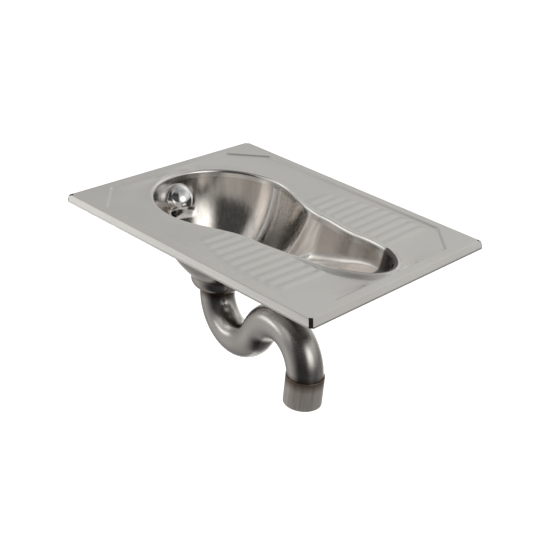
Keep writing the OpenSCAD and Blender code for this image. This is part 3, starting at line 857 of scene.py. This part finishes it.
def polished_sheet():
    M = Mat("drawn_steel")
    draw = M.noise(M.mapping((40, 40, 3)), 4.0, 3, 0.55)            # drawing streaks run down the wall
    broad = M.noise(M.co, 8.0, 2, 0.5)
    base = M.ramp(draw, [(0.3, (0.56, 0.53, 0.50)), (0.7, (0.66, 0.63, 0.60))])
    # painted highlight: base lightened to near white along the weld to the trough
    x = M.z()
    base = M.mixc(M.rng(x[0], 0.004, 0.024, 0.0, 0.85), base, (0.94, 0.92, 0.89))
    rough = M.math("ADD", M.rng(draw, 0.3, 0.7, 0.12, 0.17), M.rng(broad, 0.3, 0.7, 0.0, 0.04))
    n = M.bump(draw, 0.05, 0.001)
    n = M.bump(M.noise(M.mapping((1, 1, 0.5)), 14.0, 2, 0.5), 0.16, 0.004, n)
    return M.set(base, rough, 1.0, n)


def trough_sheet():
    M = Mat("trough_steel")
    draw = M.noise(M.mapping((14, 14, 3)), 4.0, 3, 0.5)
    x = M.z()
    base = M.ramp(draw, [(0.3, (0.57, 0.535, 0.505)), (0.7, (0.64, 0.61, 0.58))])
    # painted highlight: base lightened to near white along the weld to the bowl; the front end then gets painted shade
    base = painted_front_shade(M, M.mixc(M.rng(x[0], 0.046, 0.058, 0.85, 0.0), base, (0.94, 0.92, 0.89)))
    rough = M.rng(draw, 0.3, 0.7, 0.20, 0.26)
    n = M.bump(draw, 0.015, 0.001)
    n = M.bump(M.noise(M.co, 9.0, 2, 0.5), 0.05, 0.004, n)
    return M.set(base, rough, 1.0, n)


def trap_steel(tint_at=None):
    M = Mat("polished_tube" if tint_at is None else "polished_tube_tinted")
    ms = M.noise(M.co, 60.0, 3, 0.6)
    broad = M.noise(M.co, 9.0, 2, 0.5)
    base = M.ramp(broad, [(0.3, (0.46, 0.44, 0.42)), (0.7, (0.56, 0.54, 0.52))])
    z = M.z()
    out = base
    for zc, w, col, amt in tint_at or ():
        d = M.math("ABSOLUTE", M.math("SUBTRACT", z[2], zc * MM))
        wob = M.math("ADD", d, M.math("MULTIPLY", M.math("SUBTRACT", M.noise(M.co, 22.0, 2, 0.5), 0.5), 0.008))
        f = M.rng(wob, 0.0, w * MM, amt, 0.0)
        out = M.mixc(f, out, col)
    rough = M.math("ADD", M.rng(ms, 0.3, 0.7, 0.20, 0.27), M.rng(broad, 0.3, 0.7, 0.0, 0.05))
    n = M.bump(ms, 0.05, 0.0005)
    return M.set(out, rough, 1.0, n)


def tail_steel():
    M = Mat("matte_tube")
    st = M.noise(M.mapping((60, 60, 2)), 3.0, 4, 0.6)
    z = M.z()
    base = M.ramp(st, [(0.3, (0.34, 0.305, 0.275)), (0.7, (0.52, 0.485, 0.45))])
    f = M.rng(z[2], (TAIL_TOP - 22) * MM, (TAIL_TOP - 4) * MM, 0.0, 0.85)
    base = M.mixc(f, base, (0.10, 0.06, 0.04))
    rough = M.rng(st, 0.3, 0.7, 0.42, 0.55)
    return M.set(base, rough, 0.7, M.bump(st, 0.08, 0.0006))


def weld_mat():
    M = Mat("weld_bead")
    nz = M.noise(M.co, 90.0, 3, 0.6)
    base = M.ramp(nz, [(0.3, (0.16, 0.11, 0.08)), (0.7, (0.34, 0.29, 0.25))])
    return M.set(base, M.rng(nz, 0.3, 0.7, 0.3, 0.5), 1.0, M.bump(nz, 0.2, 0.0005))


def chrome_mat():
    M = Mat("hood_chrome")
    nz = M.noise(M.co, 40.0, 2, 0.5)
    base = M.ramp(nz, [(0.3, (0.80, 0.81, 0.82)), (0.7, (0.86, 0.87, 0.88))])
    return M.set(base, M.rng(nz, 0.3, 0.7, 0.03, 0.07), 1.0, M.bump(M.noise(M.co, 25.0, 2, 0.5), 0.12, 0.002))


def turned_mat():
    M = Mat("turned_steel")
    nz = M.noise(M.mapping((300, 8, 8)), 3.0, 3, 0.6)
    base = M.ramp(nz, [(0.3, (0.46, 0.45, 0.43)), (0.7, (0.60, 0.59, 0.57))])
    return M.set(base, M.rng(nz, 0.3, 0.7, 0.22, 0.36), 1.0, M.bump(nz, 0.15, 0.0004))


def rubber_mat():
    M = Mat("gasket_rubber")
    nz = M.noise(M.co, 240.0, 3, 0.6)
    base = M.ramp(nz, [(0.3, (0.018, 0.018, 0.018)), (0.7, (0.035, 0.035, 0.034))])
    return M.set(base, M.rng(nz, 0.3, 0.7, 0.6, 0.78), 0.0, M.bump(nz, 0.2, 0.0004))


def brass_mat():
    M = Mat("nut_brass")
    nz = M.noise(M.mapping((60, 60, 60)), 2.0, 3, 0.6)
    base = M.ramp(nz, [(0.3, (0.58, 0.42, 0.16)), (0.7, (0.72, 0.55, 0.25))])
    return M.set(base, M.rng(nz, 0.3, 0.7, 0.26, 0.42), 1.0, M.bump(nz, 0.12, 0.0005))


polished = polished_sheet()
give(deck, satin_sheet())
give(rim, edge_sheet())
give(tabs, scale_and_shade_sheet())
give(trough, trough_sheet())
give(bowl, polished)
brown = (0.13, 0.085, 0.06)
give(cup, trap_steel([(-204.5, 14, brown, 0.5)]))
give(lower, trap_steel([(-211, 15, (0.10, 0.055, 0.035), 0.9)]))
give(upper, trap_steel([(TAIL_TOP, 12, (0.10, 0.055, 0.035), 0.85)]))
give(tail, tail_steel())
give(welds, weld_mat())
give(hood, chrome_mat())
turned, rub = turned_mat(), rubber_mat()
for o, m in zip(inlet, (turned, rub, rub, turned, brass_mat())):
    give(o, m)

# ------------------------------------------------------------------ studio
def plane_obj(name, size, loc, rot=(0, 0, 0)):
    me = bpy.data.meshes.new(name)
    sx, sy = size[0] / 2, size[1] / 2
    me.from_pydata([(-sx, -sy, 0), (sx, -sy, 0), (sx, sy, 0), (-sx, sy, 0)], [], [(0, 1, 2, 3)])
    o = bpy.data.objects.new(name, me)
    o.location = loc
    o.rotation_euler = rot
    bpy.context.scene.collection.objects.link(o)
    return o


floor = plane_obj("floor", (40, 40), (0, 0, -0.60))
fm = bpy.data.materials.new("floor_paint")
fm.use_nodes = True
fb = fm.node_tree.nodes["Principled BSDF"]
fb.inputs["Base Color"].default_value = (0.93, 0.93, 0.93, 1)
fb.inputs["Roughness"].default_value = 0.9
fb.inputs["Emission Color"].default_value = (1, 1, 1, 1)
fb.inputs["Emission Strength"].default_value = 0.75
floor.data.materials.append(fm)

floor.visible_glossy = False

# soft surroundings: a lighter upper half, a darker side behind the camera, a grey lower half
w = bpy.data.worlds.new("studio")
bpy.context.scene.world = w
w.use_nodes = True
wt = w.node_tree
bg = wt.nodes["Background"]
bg.inputs["Strength"].default_value = 1.0
sep = wt.nodes.new("ShaderNodeSeparateXYZ")
wt.links.new(wt.nodes.new("ShaderNodeTexCoord").outputs["Generated"], sep.inputs[0])


def wmath(op, a, b=None):
    m = wt.nodes.new("ShaderNodeMath")
    m.operation = op
    for i, v in enumerate((a, b)):
        if v is None:
            continue
        if isinstance(v, (int, float)):
            m.inputs[i].default_value = v
        else:
            wt.links.new(v, m.inputs[i])
    return m.outputs[0]


def wrange(v, a, b, c, d, kind="SMOOTHSTEP"):
    m = wt.nodes.new("ShaderNodeMapRange")
    m.interpolation_type = kind
    for i, x in zip(("From Min", "From Max", "To Min", "To Max"), (a, b, c, d)):
        m.inputs[i].default_value = x
    wt.links.new(v, m.inputs["Value"])
    return m.outputs["Result"]


def wramp(fac, stops):
    r = wt.nodes.new("ShaderNodeValToRGB")
    el = r.color_ramp.elements
    while len(el) < len(stops):
        el.new(0.5)
    for e, (p, c) in zip(el, stops):
        e.position = p
        e.color = (c[0], c[1], c[2], 1) if hasattr(c, "__len__") else (c, c, c, 1)
    wt.links.new(fac, r.inputs["Fac"])
    return r.outputs["Color"]


height = wrange(sep.outputs[2], -1.0, 1.0, 0.0, 1.0, "LINEAR")
azim = wmath("ARCTAN2", sep.outputs[1], sep.outputs[0])             # radians, 0 along +X
upper = wramp(height, [(0.0, (0.60, 0.59, 0.58)), (0.5, (0.60, 0.59, 0.58)), (0.587, (0.54, 0.53, 0.515)), (0.67, (0.78, 0.77, 0.75)),
                       (0.74, (1.0, 0.99, 0.97)), (0.83, (0.94, 0.93, 0.91)), (0.90, (0.60, 0.59, 0.58)), (1.0, (0.42, 0.415, 0.41))])
lower = wramp(height, [(0.0, (0.62, 0.61, 0.60)), (0.08, (0.66, 0.65, 0.64)), (0.25, (0.90, 0.89, 0.87)), (0.42, (0.86, 0.85, 0.83)),
                       (0.5, (0.80, 0.79, 0.77)), (1.0, (0.80, 0.79, 0.77))])


def az(d):
    return (d + 180) / 360


turn = wrange(azim, -math.pi, math.pi, 0.0, 1.0, "LINEAR")
ring = wramp(turn, [(0.0, 0.34), (az(-165), 0.34), (az(-146), 0.36), (az(-132), 0.38), (az(-118), 0.46), (az(-106), 0.36), (az(-95), 0.04),
                    (az(-34), 0.04), (az(-20), 0.44), (az(0), 0.44), (az(25), 0.40), (az(55), 0.40), (az(72), 0.37), (az(84), 0.44), (az(100), 0.54), (az(112), 0.42),
                    (az(122), 0.41), (az(134), 0.37), (az(150), 0.33), (az(165), 0.30), (1.0, 0.34)])
ring_low = wramp(turn, [(0.0, 0.26), (az(-165), 0.32), (az(-140), 0.36), (az(-120), 0.24), (az(-100), 0.10), (az(-85), 0.02), (az(-30), 0.03),
                        (az(-10), 0.09), (az(15), 0.06), (az(35), 0.10), (az(45), 0.15), (az(65), 0.15), (az(85), 0.24), (az(105), 0.70), (az(130), 0.85),
                        (az(145), 0.30), (az(165), 0.20), (1.0, 0.26)])
fade = wrange(height, 0.93, 1.0, 0.0, 0.30)


def scaled(col, k):
    mul = wt.nodes.new("ShaderNodeVectorMath")
    mul.operation = "SCALE"
    wt.links.new(col, mul.inputs[0])
    wt.links.new(k, mul.inputs["Scale"])
    return mul.outputs[0]


def glow(a, e, half, soft, k):
    """soft round light in the surroundings at a compass angle and height"""
    a, e = math.radians(a), math.radians(e)
    dot = wt.nodes.new("ShaderNodeVectorMath")
    dot.operation = "DOT_PRODUCT"
    dot.inputs[1].default_value = (math.cos(a) * math.cos(e), math.sin(a) * math.cos(e), math.sin(e))
    wt.links.new(sep.inputs[0].links[0].from_socket, dot.inputs[0])
    return wrange(dot.outputs["Value"], math.cos(math.radians(half + soft)), math.cos(math.radians(half)), 0.0, k)


lift = wmath("ADD", glow(0, 26, 9, 12, 0.62), glow(-163, 42, 12, 10, 0.36))
over = scaled(upper, wmath("MULTIPLY", wmath("ADD", wmath("MAXIMUM", ring, fade), lift), 2.0))
under = scaled(lower, wmath("MULTIPLY", ring_low, 2.0))
sky = wt.nodes.new("ShaderNodeMix")
sky.data_type = "RGBA"
wt.links.new(wrange(height, 0.50, 0.61, 0.0, 1.0), sky.inputs[0])
wt.links.new(under, sky.inputs[6])
wt.links.new(over, sky.inputs[7])
wt.links.new(sky.outputs[2], bg.inputs["Color"])


def area(name, az, el, dist, size, radiance, color=(1, 1, 1), target=(0, 0, -0.1)):
    """soft box seen from the pan at a compass angle and height, of a given brightness"""
    l = bpy.data.lights.new(name, "AREA")
    l.shape = "RECTANGLE"
    l.size, l.size_y = size
    l.energy = radiance * math.pi * size[0] * size[1]
    l.color = color
    o = bpy.data.objects.new(name, l)
    a, e = math.radians(az), math.radians(el)
    t = Vector(target)
    o.location = t + Vector((math.cos(a) * math.cos(e), math.sin(a) * math.cos(e), math.sin(e))) * dist
    o.rotation_euler = (t - o.location).to_track_quat("-Z", "Y").to_euler()
    bpy.context.scene.collection.objects.link(o)
    return o


area("box_left", -142, 8, 1.5, (0.9, 0.30), 1.6, target=(0, 0, -0.32))

# ------------------------------------------------------------------ camera, from the fit to the deck's corners
cam_d = bpy.data.cameras.new("camera")
cam_d.sensor_fit = "HORIZONTAL"
cam_d.sensor_width = 36.0
cam_d.lens = 1167.0 / 560.0 * 36.0
cam = bpy.data.objects.new("camera", cam_d)
bpy.context.scene.collection.objects.link(cam)
az, el, roll = math.radians(40.04), math.radians(27.25), math.radians(5.76)
fwd = Vector((-math.sin(az) * math.cos(el), math.cos(az) * math.cos(el), -math.sin(el)))
right0 = fwd.cross(Vector((0, 0, 1))).normalized()
up0 = right0.cross(fwd)
right = right0 * math.cos(roll) + up0 * math.sin(roll)
up = up0 * math.cos(roll) - right0 * math.sin(roll)
m = Matrix((right, up, -fwd)).transposed().to_4x4()
m.translation = Vector((1.4061, -1.6359, 0.9812))
cam.matrix_world = m
bpy.context.scene.camera = cam
bpy.context.scene.view_settings.view_transform = "Standard"
bpy.context.scene.view_settings.look = "None"
